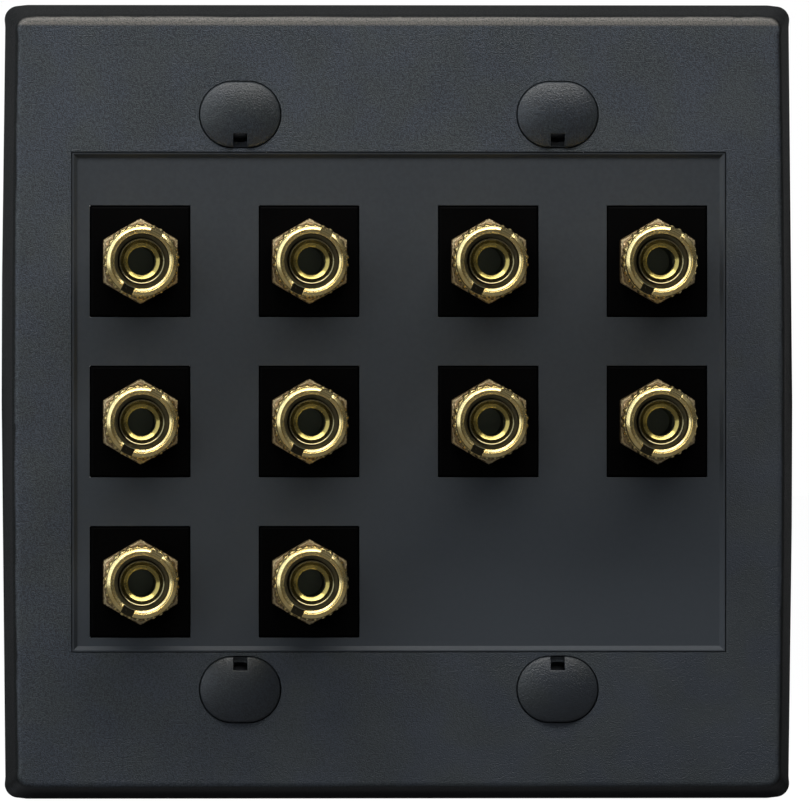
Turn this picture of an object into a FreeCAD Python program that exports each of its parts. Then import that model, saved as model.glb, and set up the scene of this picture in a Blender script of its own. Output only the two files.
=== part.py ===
import FreeCAD, Part
import math
import os
from types import SimpleNamespace

import Sketcher
from FreeCAD import Placement, Rotation, Vector

# Two-gang wall plate with ten gold binding posts for loudspeaker wires, in millimetres.
# X runs right, Z up, and the front faces -Y. The wall is the plane Y = 0, and the origin lies in it
# between the four box screws. A depth whose name ends in _out counts from the wall to the front.

SIZES = {
    # outer frame
    "side_bar": 10.0,
    "end_bar": 21.35,
    "plate_depth": 6.5,
    "plate_wall": 2.0,
    "side_bow": 0.6,
    "side_draft": 14.0,
    "corner_r": 3.4,
    "edge_r": 1.2,
    "window_wide": 95.0,
    "window_tall": 72.6,
    "catch_wide": 8.0,
    "catch_thick": 1.2,
    "catch_lip": 0.8,
    "catch_gap": 0.15,
    "catch_up": 20.0,
    "root_sink": 0.5,
    # inner panel
    "seam": 0.25,
    "flange_lap": 2.0,
    "flange_thick": 0.9,
    "panel_sink": 0.7,
    "rim_below": 0.15,
    "rim_land": 0.1,
    "rim_slope": 45.0,
    "surround_wall": 1.2,
    # box screws, their wells and covers
    "screw_across": 46.04,
    "screw_r": 1.75,
    "screw_neck_r": 1.5,
    "screw_long": 25.4,
    "screw_point": 1.0,
    "screw_gap": 0.25,
    "head_r": 3.45,
    "head_tall": 1.9,
    "head_crown": 0.8,
    "driver_slot_wide": 1.0,
    "driver_slot_deep": 0.9,
    "well_half_wide": 6.0,
    "well_half_tall": 4.9,
    "well_deep": 3.3,
    "well_floor": 1.8,
    "well_wall": 1.2,
    "well_web": 0.47,
    "cover_gap": 0.3,
    "cover_crown": 1.5,
    "cover_edge_r": 0.4,
    "cover_room": 0.4,
    "notch_wide": 2.0,
    "notch_tall": 1.9,
    "notch_deep": 3.4,
    # ports
    "column_inner": 13.0,
    "port_side": 2.75,
    "port_above": 7.85,
    "port_below": 2.17,
    # keystone housing
    "key_wide": 14.5,
    "key_tall": 16.1,
    "key_long": 17.0,
    "key_gap": 0.05,
    "key_bevel": 0.3,
    "ledge_deep": 5.8,
    "shoulder_deep": 4.2,
    "latch_wide": 9.0,
    "latch_thick": 1.2,
    "latch_room": 3.0,
    "latch_low": 0.15,
    "latch_root": 2.0,
    "tooth_flat": 0.8,
    "tooth_slope": 1.8,
    # binding post
    "stem_r": 3.3,
    "bore_r": 2.0,
    "bore_deep": 16.0,
    "tip_sink": 1.0,
    "tip_bevel": 0.12,
    "tip_land": 0.08,
    "funnel_wide": 0.5,
    "funnel_deep": 0.7,
    "throat_deep": 0.35,
    "wire_hole_r": 1.3,
    "wire_hole_up": 1.95,
    "base_r": 5.2,
    "base_thick": 2.0,
    "base_proud": 0.1,
    "base_gap": 0.15,
    "stud_r": 2.0,
    "stud_long": 9.0,
    "stud_bevel": 0.4,
    # lock nut, clamp washer and collar
    "nut_flats": 10.8,
    "nut_thick": 3.2,
    "nut_gap": 0.03,
    "nut_bevel": 0.1,
    "nut_bevel_slope": 30.0,
    "washer_r": 4.9,
    "washer_thick": 0.8,
    "hub_r": 4.25,
    "hub_tall": 0.75,
    "thread_gap": 0.1,
    "collar_long": 9.0,
    "knurl_r": 5.45,
    "knurl_long": 5.0,
    "knurl_deep": 0.28,
    "knurl_half": 0.5,
    "knurl_count": 28,
    "knurl_bevel": 0.3,
    "neck_r": 4.85,
    "neck_long": 0.6,
    "ring_r": 5.15,
    "ring_bevel": 0.15,
    "ring_land": 0.35,
    "step_deep": 0.3,
    "step_wide": 0.3,
    "mouth_r": 3.95,
    "mouth_flare": 0.25,
    "thread_long": 3.8,
    "slot_wide": 1.8,
    "slot_deep": 0.9,
    "slot_turn": 27.0,
    # rear lug and nut
    "lug_r": 4.0,
    "lug_thick": 0.8,
    "lug_long": 10.0,
    "lug_tab": 4.0,
    "lug_hole_r": 0.9,
    "rear_nut_flats": 7.0,
    "rear_nut_thick": 3.2,
}

# How far a cutter runs past the face it cuts, and how near two depths are that count as one
OVERCUT = 1.0
NEAR = 0.001


class Size:
    """A length that knows its value and the sheet formula that gives it."""

    def __init__(self, value, text):
        self.value = value
        self.text = text

    def __add__(self, other):
        return Size(self.value + value_of(other), f"({self.text} + {text_of(other)})")

    def __sub__(self, other):
        return Size(self.value - value_of(other), f"({self.text} - {text_of(other)})")

    def __mul__(self, other):
        return Size(self.value * value_of(other), f"({self.text} * {text_of(other)})")

    def __truediv__(self, other):
        return Size(self.value / value_of(other), f"({self.text} / {text_of(other)})")

    def __neg__(self):
        return Size(-self.value, f"(0 - {self.text})")


def value_of(amount):
    return amount.value if isinstance(amount, Size) else amount


def text_of(amount):
    return amount.text if isinstance(amount, Size) else repr(amount)


# Document, sheet of sizes and the depths worked out from them

doc = FreeCAD.newDocument("speaker_terminal_plate")
sheet = doc.addObject("Spreadsheet::Sheet", "Sizes")
for line, (alias, number) in enumerate(SIZES.items(), 1):
    sheet.set(f"A{line}", alias)
    sheet.set(f"B{line}", str(number))
    sheet.setAlias(f"B{line}", alias)
doc.recompute()

size = SimpleNamespace(**{alias: Size(number, f"Sizes.{alias}") for alias, number in SIZES.items()})

well_out = size.plate_depth - size.well_deep
boss_out = well_out - size.well_floor
inside_out = size.plate_depth - size.plate_wall
panel_back_out = inside_out - size.flange_thick
panel_out = size.plate_depth - size.panel_sink
rim_out = size.plate_depth - size.rim_below
ledge_out = panel_out - size.ledge_deep
nut_out = panel_out + size.nut_thick
collar_back_out = nut_out + size.washer_thick
collar_out = collar_back_out + size.collar_long
tip_out = collar_out - size.tip_sink
key_back_out = panel_out - size.key_long
base_back_out = key_back_out - size.base_proud
base_front_out = base_back_out + size.base_thick
lug_back_out = base_back_out - size.lug_thick

# The window is what the rest is laid out from: the plate around it, the ports inside and the screws

plate_wide = size.window_wide + size.side_bar * 2
plate_tall = size.window_tall + size.end_bar * 2

column_outer = size.window_wide / 2 - size.port_side - size.key_wide / 2
row_top = size.window_tall / 2 - size.port_above - size.key_tall / 2
row_bottom = -(size.window_tall / 2 - size.port_below - size.key_tall / 2)
columns = (-column_outer, -size.column_inner, size.column_inner, column_outer)
ports = [(across, row_top) for across in columns]
ports += [(across, (row_top + row_bottom) / 2) for across in columns]
ports += [(across, row_bottom) for across in columns[:2]]

screw_up = size.window_tall / 2 + size.well_web + size.well_half_tall
screws = {
    "top_left": (-size.screw_across / 2, screw_up),
    "top_right": (size.screw_across / 2, screw_up),
    "bottom_left": (-size.screw_across / 2, -screw_up),
    "bottom_right": (size.screw_across / 2, -screw_up),
}


# Sketches, with each size tied to the sheet


def bind(item, place, amount):
    """Ties a property to its formula, or sets it where it is a plain number."""
    if isinstance(amount, Size):
        item.setExpression(place, amount.text)
    else:
        setattr(item, place, amount)


def new_body(name):
    body = doc.addObject("PartDesign::Body", name)
    body.Label = name
    return body


def new_sketch(body, name, role, out=None):
    """A sketch on one of the body's own planes, moved out along the plane's normal."""
    sketch = body.newObject("Sketcher::SketchObject", name)
    plane = next(item for item in body.Origin.OriginFeatures if item.Role == role)
    sketch.AttachmentSupport = (plane, [""])
    sketch.MapMode = "FlatFace"
    if out is not None:
        bind(sketch, ".AttachmentOffset.Base.z", out)
    return sketch


def constrain(sketch, kind, *where):
    """Adds a constraint, and ties its size to the sheet where it has one."""
    *places, amount = where
    if isinstance(amount, Size):
        index = sketch.addConstraint(Sketcher.Constraint(kind, *places, amount.value))
        sketch.setExpression(f"Constraints[{index}]", amount.text)
    else:
        sketch.addConstraint(Sketcher.Constraint(kind, *where))


def pin(sketch, shape, end, point):
    """Holds one point of a sketched shape at its place across and up from the sketch's origin."""
    for kind, axis, amount in (("DistanceX", -2, point[0]), ("DistanceY", -1, point[1])):
        if isinstance(amount, Size):
            constrain(sketch, kind, shape, end, amount)
        else:
            sketch.addConstraint(Sketcher.Constraint("PointOnObject", shape, end, axis))


def spot(point):
    return Vector(value_of(point[0]), value_of(point[1]), 0)


def draw_outline(sketch, points):
    """A closed straight-sided outline through its corners. A corner on an axis has a plain 0 there."""
    first = sketch.GeometryCount
    count = len(points)
    for start, end in zip(points, points[1:] + points[:1]):
        sketch.addGeometry(Part.LineSegment(spot(start), spot(end)))
    for corner in range(count):
        constrain(sketch, "Coincident", first + corner, 2, first + (corner + 1) % count, 1)
        pin(sketch, first + corner, 1, points[corner])


def draw_box(sketch, wide, tall, centre=(0, 0)):
    """A rectangle given by its whole width and height about its centre."""
    across, up = centre
    left, right = wide / -2 + across, wide / 2 + across
    low, high = tall / -2 + up, tall / 2 + up
    draw_outline(sketch, [(left, low), (right, low), (right, high), (left, high)])


def draw_circle(sketch, radius, centre=(0, 0)):
    shape = sketch.addGeometry(Part.Circle(spot(centre), Vector(0, 0, 1), value_of(radius)))
    pin(sketch, shape, 3, centre)
    constrain(sketch, "Radius", shape, radius)


def draw_arc(sketch, centre, radius, start, end):
    circle = Part.Circle(spot(centre), Vector(0, 0, 1), value_of(radius))
    return sketch.addGeometry(Part.ArcOfCircle(circle, math.radians(start), math.radians(end)))


def draw_oval(sketch, half_wide, half_tall, centre=(0, 0)):
    """Two half circles joined by flats above and below."""
    across, up = centre
    flat = half_wide - half_tall
    right = (flat + across, up)
    left = (-flat + across, up)
    right_arc = draw_arc(sketch, right, half_tall, -90, 90)
    left_arc = draw_arc(sketch, left, half_tall, 90, 270)
    top = half_tall + up
    bottom = -half_tall + up
    above = sketch.addGeometry(Part.LineSegment(spot((right[0], top)), spot((left[0], top))))
    below = sketch.addGeometry(Part.LineSegment(spot((left[0], bottom)), spot((right[0], bottom))))
    pin(sketch, right_arc, 3, right)
    pin(sketch, left_arc, 3, left)
    constrain(sketch, "Radius", right_arc, half_tall)
    constrain(sketch, "Equal", right_arc, left_arc)
    for line, begin, end in ((above, right_arc, left_arc), (below, left_arc, right_arc)):
        constrain(sketch, "Tangent", begin, 2, line, 1)
        constrain(sketch, "Tangent", line, 2, end, 1)


def draw_bowed(sketch, half_wide, half_tall, bow):
    """Straight top and bottom, with sides that bow out to the half width at mid-height."""
    edge = half_wide - bow
    radius = (half_tall * half_tall + bow * bow) / (bow * 2)
    turn = math.degrees(math.asin(half_tall.value / radius.value))
    centre = half_wide - radius
    right_arc = draw_arc(sketch, (centre, 0), radius, -turn, turn)
    left_arc = draw_arc(sketch, (-centre, 0), radius, 180 - turn, 180 + turn)
    above = sketch.addGeometry(Part.LineSegment(spot((edge, half_tall)), spot((-edge, half_tall))))
    below = sketch.addGeometry(Part.LineSegment(spot((-edge, -half_tall)), spot((edge, -half_tall))))
    for line, side in ((above, 1), (below, -1)):
        pin(sketch, line, 1, (edge * side, half_tall * side))
        pin(sketch, line, 2, (-edge * side, half_tall * side))
    for begin, line, end in ((right_arc, above, left_arc), (left_arc, below, right_arc)):
        constrain(sketch, "Coincident", begin, 2, line, 1)
        constrain(sketch, "Coincident", line, 2, end, 1)
    constrain(sketch, "Radius", right_arc, radius)
    constrain(sketch, "Radius", left_arc, radius)


# Features on a body


def pad(body, name, sketch, length, both_ways=False, draft=None):
    feature = body.newObject("PartDesign::Pad", name)
    feature.Profile = sketch
    feature.SideType = "Symmetric" if both_ways else "One side"
    bind(feature, "Length", length)
    if draft is not None:
        bind(feature, "TaperAngle", -draft)
    return feature


def pocket(body, name, sketch, length=None, both_ways=False, forwards=False, draft=None):
    """A cut towards the wall, or forwards from behind. With no length it runs right through."""
    feature = body.newObject("PartDesign::Pocket", name)
    feature.Profile = sketch
    feature.SideType = "Symmetric" if both_ways else "One side"
    feature.Reversed = forwards
    if length is None:
        feature.Type = "ThroughAll"
    else:
        bind(feature, "Length", length)
    if draft is not None:
        bind(feature, "TaperAngle", -draft)
    return feature


def turn(body, name, kind, points):
    """Turns a profile of (depth out, radius) pairs about the body's Y axis, as on a lathe."""
    sketch = new_sketch(body, name + "_profile", "YZ_Plane")
    draw_outline(sketch, [(-out, radius) for out, radius in points])
    feature = body.newObject("PartDesign::" + kind, name)
    feature.Profile = sketch
    feature.ReferenceAxis = (sketch, ["H_Axis"])
    feature.Angle = 360
    return feature


def soften(body, name, kind, amount, wanted):
    """A fillet or chamfer on the edges of the body's last feature that the test picks out."""
    doc.recompute()
    base = body.Tip
    edges = [f"Edge{n}" for n, edge in enumerate(base.Shape.Edges, 1) if wanted(edge)]
    feature = body.newObject("PartDesign::" + kind, name)
    feature.Base = (base, edges)
    bind(feature, "Radius" if kind == "Fillet" else "Size", amount)
    return feature


def lies_at(edge, out):
    """True for an edge that keeps one depth out from the wall."""
    box = edge.BoundBox
    return abs(box.YMin + value_of(out)) < NEAR and abs(box.YMax + value_of(out)) < NEAR


# Outer frame: a drafted shell with bowed sides, a window, four screw wells and six catches


def make_face_frame():
    frame = new_body("face_frame")
    outer = new_sketch(frame, "outer_outline", "XZ_Plane")
    draw_bowed(outer, plate_wide / 2, plate_tall / 2, size.side_bow)
    pad(frame, "slab", outer, size.plate_depth, draft=size.side_draft)
    soften(frame, "corners", "Fillet", size.corner_r, lambda edge: edge.BoundBox.YLength > NEAR)
    soften(frame, "front_edge", "Fillet", size.edge_r, lambda edge: lies_at(edge, size.plate_depth))

    inner = new_sketch(frame, "inner_outline", "XZ_Plane")
    inner_wide = plate_wide / 2 - size.plate_wall
    inner_tall = plate_tall / 2 - size.plate_wall
    draw_bowed(inner, inner_wide, inner_tall, size.side_bow)
    pocket(frame, "hollow", inner, inside_out, forwards=True, draft=size.side_draft)

    boss_wide = size.well_half_wide + size.well_wall
    boss_tall = size.well_half_tall + size.well_wall
    for name, centre in screws.items():
        boss = new_sketch(frame, name + "_boss_outline", "XZ_Plane", boss_out)
        draw_oval(boss, boss_wide, boss_tall, centre)
        pad(frame, name + "_boss", boss, inside_out - boss_out + size.root_sink)

    window = new_sketch(frame, "window_outline", "XZ_Plane", size.plate_depth)
    draw_box(window, size.window_wide, size.window_tall)
    pocket(frame, "window", window)

    # Behind the window's edge each boss stays whole, as a ledge that the panel rests on
    for name, centre in screws.items():
        ledge = new_sketch(frame, name + "_ledge_outline", "XZ_Plane", boss_out)
        draw_oval(ledge, boss_wide, boss_tall, centre)
        pad(frame, name + "_ledge", ledge, panel_back_out - boss_out)

    for name, centre in screws.items():
        well = new_sketch(frame, name + "_well_outline", "XZ_Plane", size.plate_depth)
        draw_oval(well, size.well_half_wide, size.well_half_tall, centre)
        pocket(frame, name + "_well", well, size.well_deep)

    holes = new_sketch(frame, "screw_hole_outlines", "XZ_Plane", size.plate_depth)
    for centre in screws.values():
        draw_circle(holes, size.screw_r + size.screw_gap, centre)
    pocket(frame, "screw_holes", holes)

    half_wide = size.window_wide / 2 + size.flange_lap
    half_tall = size.window_tall / 2 + size.flange_lap
    for side, name in ((-1, "low"), (1, "high")):
        for hand, place in ((-1, "left"), (1, "right")):
            hook = new_sketch(frame, f"{name}_{place}_catch_outline", "XY_Plane", size.catch_up * side)
            draw_outline(hook, [(across * hand, -out) for across, out in catch_profile(half_wide)])
            pad(frame, f"{name}_{place}_catch", hook, size.catch_wide, both_ways=True)
        hook = new_sketch(frame, f"{name}_middle_catch_outline", "YZ_Plane")
        draw_outline(hook, [(-out, up * side) for up, out in catch_profile(half_tall)])
        pad(frame, f"{name}_middle_catch", hook, size.catch_wide, both_ways=True)
    return frame


def catch_profile(flange_edge):
    """A hook that stands behind the flange's edge and laps over its back, as (across, out)."""
    root = inside_out + size.root_sink
    lip_out = panel_back_out - size.catch_gap
    back_out = lip_out - size.catch_thick
    near = flange_edge + size.catch_gap
    far = near + size.catch_thick
    reach = flange_edge - size.catch_lip
    return [(near, root), (near, lip_out), (reach, lip_out), (near, back_out), (far, back_out), (far, root)]


# Inner panel: a shallow tray in the window, with a flange behind it and ten keystone ports


def make_port_panel():
    panel = new_body("port_panel")
    flange = new_sketch(panel, "flange_outline", "XZ_Plane", panel_back_out)
    draw_box(flange, size.window_wide + size.flange_lap * 2, size.window_tall + size.flange_lap * 2)
    pad(panel, "flange", flange, size.flange_thick)

    field_wide = size.window_wide - size.seam * 2
    field_tall = size.window_tall - size.seam * 2
    boss_wide = (size.well_half_wide + size.well_wall + size.cover_gap) * 2
    boss_rooms = new_sketch(panel, "boss_room_outlines", "XZ_Plane", inside_out)
    for across, up in screws.values():
        side = 1 if up.value > 0 else -1
        middle = (field_tall / 2 + size.flange_lap) * side
        draw_box(boss_rooms, boss_wide, size.flange_lap * 2, (across, middle))
    pocket(panel, "boss_rooms", boss_rooms)

    field = new_sketch(panel, "field_outline", "XZ_Plane", panel_back_out)
    draw_box(field, field_wide, field_tall)
    pad(panel, "field", field, rim_out - panel_back_out)

    tray = new_sketch(panel, "tray_outline", "XZ_Plane", rim_out)
    draw_box(tray, field_wide - size.rim_land * 2, field_tall - size.rim_land * 2)
    pocket(panel, "tray", tray, rim_out - panel_out, draft=size.rim_slope)

    surrounds = new_sketch(panel, "surround_outlines", "XZ_Plane", ledge_out)
    openings = new_sketch(panel, "port_outlines", "XZ_Plane", rim_out)
    for centre in ports:
        wide = size.key_wide + size.key_gap * 2
        tall = size.key_tall + size.key_gap * 2
        draw_box(surrounds, wide + size.surround_wall * 2, tall + size.surround_wall * 2, centre)
        draw_box(openings, wide, tall, centre)
    pad(panel, "surrounds", surrounds, panel_back_out - ledge_out + size.root_sink)
    pocket(panel, "ports", openings)
    return panel


# Screw cover: a domed oval cap with a hollow for the screw head and a pry notch at its lower edge


def make_screw_cover():
    cover = new_body("screw_cover")
    crown_out = size.plate_depth + size.cover_crown
    half_wide = size.well_half_wide - size.cover_gap
    half_tall = size.well_half_tall - size.cover_gap
    oval = new_sketch(cover, "oval_outline", "XZ_Plane", well_out)
    draw_oval(oval, half_wide, half_tall)
    pad(cover, "cap", oval, crown_out - well_out)

    radius = (half_wide * half_wide + size.cover_crown * size.cover_crown) / (size.cover_crown * 2)
    over = crown_out + size.cover_crown
    section = new_sketch(cover, "dome_profile", "YZ_Plane")
    turn_to = math.degrees(math.asin(half_wide.value / radius.value))
    arc = draw_arc(section, (radius - crown_out, 0), radius, 180 - turn_to, 180)
    corners = [(-crown_out, 0), (-over, 0), (-over, half_wide), (-size.plate_depth, half_wide)]
    lines = [
        section.addGeometry(Part.LineSegment(spot(start), spot(end)))
        for start, end in zip(corners, corners[1:])
    ]
    for line, start in zip(lines, corners):
        pin(section, line, 1, start)
    pin(section, lines[-1], 2, corners[-1])
    for line, following in zip(lines, lines[1:]):
        constrain(section, "Coincident", line, 2, following, 1)
    constrain(section, "Coincident", arc, 2, lines[0], 1)
    constrain(section, "Coincident", lines[-1], 2, arc, 1)
    constrain(section, "Radius", arc, radius)
    dome = cover.newObject("PartDesign::Groove", "dome")
    dome.Profile = section
    dome.ReferenceAxis = (section, ["H_Axis"])
    dome.Angle = 360
    front = -size.plate_depth.value
    soften(cover, "rim", "Fillet", size.cover_edge_r, lambda edge: edge.BoundBox.YMin < front - NEAR)

    room = new_sketch(cover, "head_room_outline", "XZ_Plane", well_out)
    draw_circle(room, size.head_r + size.cover_room)
    pocket(cover, "head_room", room, size.head_tall + size.cover_room, forwards=True)

    notch = new_sketch(cover, "notch_outline", "XZ_Plane", crown_out)
    draw_box(notch, size.notch_wide, size.notch_tall * 2, (0, -half_tall))
    pocket(cover, "notch", notch, size.notch_deep)
    return cover


# Box screw: oval head on the well's floor, a plain neck through it and the thread behind


def make_mounting_screw():
    screw = new_body("mounting_screw")
    head_out = well_out + size.head_tall
    end_out = well_out - size.screw_long
    profile = [
        (head_out, 0),
        (head_out, size.head_r / 2),
        (head_out - size.head_crown, size.head_r),
        (well_out, size.head_r),
        (well_out, size.screw_neck_r),
        (boss_out, size.screw_neck_r),
        (boss_out, size.screw_r),
        (end_out + size.screw_point, size.screw_r),
        (end_out, size.screw_r / 2),
        (end_out, 0),
    ]
    turn(screw, "blank", "Revolution", profile)
    slot = new_sketch(screw, "driver_slot_outline", "XZ_Plane", head_out)
    draw_box(slot, size.head_r * 2 + OVERCUT, size.driver_slot_wide)
    pocket(screw, "driver_slot", slot, size.driver_slot_deep)
    return screw


# Keystone housing: a block with a stepped top, a fixed hook below and a springy latch above


def make_jack_housing():
    housing = new_body("jack_housing")
    top = size.key_tall / 2
    low_top = top - size.latch_room
    shoulder_out = panel_out - size.shoulder_deep
    side_view = new_sketch(housing, "block_outline", "YZ_Plane")
    block = [
        (panel_out, -top),
        (panel_out, top),
        (shoulder_out, top),
        (shoulder_out, low_top),
        (key_back_out, low_top),
        (key_back_out, -top),
    ]
    draw_outline(side_view, [(-out, up) for out, up in block])
    pad(housing, "block", side_view, size.key_wide, both_ways=True)
    soften(housing, "front_bevel", "Chamfer", size.key_bevel, lambda edge: lies_at(edge, panel_out))

    catch_out = ledge_out - size.key_gap
    reach = top + size.key_gap + size.surround_wall
    arm_top = top - size.latch_low
    arm_low = arm_top - size.latch_thick
    arm_end_out = shoulder_out - size.tooth_flat
    root_out = key_back_out + size.latch_root
    latch_view = new_sketch(housing, "latch_outline", "YZ_Plane")
    latch = [
        (key_back_out, low_top),
        (key_back_out, arm_top),
        (catch_out - size.tooth_flat - size.tooth_slope, arm_top),
        (catch_out - size.tooth_flat, reach),
        (catch_out, reach),
        (catch_out, arm_top),
        (arm_end_out, arm_top),
        (arm_end_out, arm_low),
        (root_out, arm_low),
        (root_out, low_top),
    ]
    draw_outline(latch_view, [(-out, up) for out, up in latch])
    pad(housing, "latch", latch_view, size.latch_wide, both_ways=True)

    hook_view = new_sketch(housing, "hook_outline", "YZ_Plane")
    hook = [
        (catch_out, -top),
        (catch_out - size.tooth_flat - size.tooth_slope, -top),
        (catch_out - size.tooth_flat, -reach),
        (catch_out, -reach),
    ]
    draw_outline(hook_view, [(-out, up) for out, up in hook])
    pad(housing, "hook", hook_view, size.latch_wide, both_ways=True)

    seat_r = size.base_r + size.base_gap
    hole = [
        (panel_out + OVERCUT, 0),
        (panel_out + OVERCUT, size.stem_r + size.nut_gap),
        (base_front_out, size.stem_r + size.nut_gap),
        (base_front_out, seat_r),
        (key_back_out - OVERCUT, seat_r),
        (key_back_out - OVERCUT, 0),
    ]
    turn(housing, "post_hole", "Groove", hole)
    return housing


# Binding post: turned brass with a two-step funnel, a plug socket, a wire hole, a base and a rear stud


def make_binding_post():
    post = new_body("binding_post")
    stud_end_out = base_back_out - size.stud_long
    bore_end_out = tip_out - size.bore_deep
    throat_out = tip_out - size.funnel_deep
    rim_r = size.stem_r - size.tip_bevel
    funnel_r = rim_r - size.tip_land
    profile = [
        (bore_end_out, 0),
        (bore_end_out, size.bore_r),
        (throat_out - size.throat_deep, size.bore_r),
        (throat_out, funnel_r - size.funnel_wide),
        (tip_out, funnel_r),
        (tip_out, rim_r),
        (tip_out - size.tip_bevel, size.stem_r),
        (base_front_out, size.stem_r),
        (base_front_out, size.base_r),
        (base_back_out, size.base_r),
        (base_back_out, size.stud_r),
        (stud_end_out + size.stud_bevel, size.stud_r),
        (stud_end_out, size.stud_r - size.stud_bevel),
        (stud_end_out, 0),
    ]
    turn(post, "blank", "Revolution", profile)
    hole = new_sketch(post, "wire_hole_outline", "YZ_Plane")
    draw_circle(hole, size.wire_hole_r, (-(nut_out + size.wire_hole_up), 0))
    pocket(post, "wire_hole", hole, size.stem_r * 2 + OVERCUT, both_ways=True)
    return post


# Nuts: hexagons with points up and down and a bevelled front


def make_nut(name, back_out, thick, flats, bore):
    nut = new_body(name)
    hexagon = new_sketch(nut, "hexagon_outline", "XZ_Plane", back_out)
    half = flats / 2
    corner = flats / math.sqrt(3)
    sides = [(0, corner), (half, corner / 2), (half, -corner / 2)]
    sides += [(0, -corner), (-half, -corner / 2), (-half, corner / 2)]
    draw_outline(hexagon, sides)
    pad(nut, "blank", hexagon, thick)
    front = back_out + thick
    flat_r = half - size.nut_bevel
    far = corner + OVERCUT
    slope = math.tan(math.radians(size.nut_bevel_slope.value))
    slope = Size(slope, f"tan({size.nut_bevel_slope.text} * 1 deg)")
    bevel = (far - flat_r) * slope
    turn(nut, "front_bevel", "Groove", [(front, flat_r), (front, far), (front - bevel, far)])
    hole = new_sketch(nut, "bore_outline", "XZ_Plane", front)
    draw_circle(hole, bore)
    pocket(nut, "bore", hole)
    return nut


# Clamp washer: presses on the wire, and its hub turns in the back of the collar


def make_clamp_washer():
    washer = new_body("clamp_washer")
    bore = size.stem_r + size.thread_gap
    profile = [
        (nut_out, bore),
        (nut_out, size.washer_r),
        (collar_back_out, size.washer_r),
        (collar_back_out, size.hub_r),
        (collar_back_out + size.hub_tall, size.hub_r),
        (collar_back_out + size.hub_tall, bore),
    ]
    turn(washer, "blank", "Revolution", profile)
    return washer


# Collar: knurled grip, a turned neck and a polished ring with a stepped mouth and a driver slot


def make_collar():
    collar = new_body("collar")
    recess_out = collar_back_out + size.hub_tall + size.thread_gap
    recess_r = size.hub_r + size.thread_gap
    thread_r = size.stem_r + size.thread_gap
    thread_out = recess_out + size.thread_long
    knurl_out = collar_back_out + size.knurl_long
    ring_back_out = knurl_out + size.neck_long
    step_out = collar_out - size.step_deep
    step_r = size.ring_r - size.ring_bevel - size.ring_land
    profile = [
        (collar_back_out, recess_r),
        (collar_back_out, size.knurl_r - size.knurl_bevel),
        (collar_back_out + size.knurl_bevel, size.knurl_r),
        (knurl_out - size.knurl_bevel, size.knurl_r),
        (knurl_out, size.knurl_r - size.knurl_bevel),
        (knurl_out, size.neck_r),
        (ring_back_out, size.neck_r),
        (ring_back_out, size.ring_r),
        (collar_out - size.ring_bevel, size.ring_r),
        (collar_out, size.ring_r - size.ring_bevel),
        (collar_out, step_r),
        (step_out, step_r),
        (step_out, step_r - size.step_wide),
        (step_out - size.mouth_flare, size.mouth_r),
        (thread_out, size.mouth_r),
        (thread_out, thread_r),
        (recess_out, thread_r),
        (recess_out, recess_r),
    ]
    turn(collar, "blank", "Revolution", profile)

    slot = new_sketch(collar, "slot_outline", "XZ_Plane", collar_out)
    slot.AttachmentOffset = Placement(Vector(), Rotation(Vector(0, 0, 1), -size.slot_turn.value))
    bind(slot, ".AttachmentOffset.Base.z", collar_out)
    draw_box(slot, size.slot_wide, size.knurl_r * 2 + OVERCUT)
    pocket(collar, "slot", slot, size.slot_deep)

    groove = new_sketch(collar, "knurl_outline", "XZ_Plane", knurl_out)
    floor_r = size.knurl_r - size.knurl_deep
    over_r = size.knurl_r + size.knurl_deep
    draw_outline(groove, [(0, floor_r), (size.knurl_half * 2, over_r), (-size.knurl_half * 2, over_r)])
    cut = pocket(collar, "knurl_groove", groove, size.knurl_long)
    around = collar.newObject("PartDesign::PolarPattern", "knurl")
    around.Originals = [cut]
    around.Axis = (groove, ["N_Axis"])
    around.Angle = 360
    bind(around, "Occurrences", size.knurl_count)
    collar.Tip = around
    return collar


# Solder lug: a ring on the rear stud with a tab that hangs down


def make_rear_lug():
    lug = new_body("rear_lug")
    for name, radius, drop in (("ring", size.lug_r, 0), ("tab_end", size.lug_tab / 2, -size.lug_long)):
        disc = new_sketch(lug, name + "_outline", "XZ_Plane", lug_back_out)
        draw_circle(disc, radius, (0, drop))
        pad(lug, name, disc, size.lug_thick)
        if name == "ring":
            tab = new_sketch(lug, "tab_outline", "XZ_Plane", lug_back_out)
            draw_box(tab, size.lug_tab, size.lug_long, (0, -size.lug_long / 2))
            pad(lug, "tab", tab, size.lug_thick)
    holes = new_sketch(lug, "hole_outlines", "XZ_Plane", base_back_out)
    draw_circle(holes, size.stud_r + size.nut_gap)
    draw_circle(holes, size.lug_hole_r, (0, -size.lug_long))
    pocket(lug, "holes", holes)
    return lug


# Each piece where it belongs


def place(pattern, label, across, up):
    """A copy of a piece at its place in the plate."""
    copy = doc.addObject("App::Link", label)
    copy.LinkedObject = pattern
    copy.Label = label
    bind(copy, ".Placement.Base.x", across)
    bind(copy, ".Placement.Base.z", up)
    return copy


def group(pattern, label, places):
    """Like fasteners kept together as one node of separate solids."""
    copies = [place(pattern, f"{pattern.Label}_{n}", *where) for n, where in enumerate(places, 1)]
    whole = doc.addObject("Part::Compound", label)
    whole.Links = copies
    whole.Label = label
    return whole


pieces = [make_face_frame(), make_port_panel()]

cover = make_screw_cover()
for name, (across, up) in screws.items():
    copy = place(cover, "screw_cover_" + name, across, up)
    if up.value < 0:
        copy.Placement.Rotation = Rotation(Vector(0, 1, 0), 180)
    pieces.append(copy)
pieces.append(group(make_mounting_screw(), "mounting_screws", screws.values()))

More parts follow.
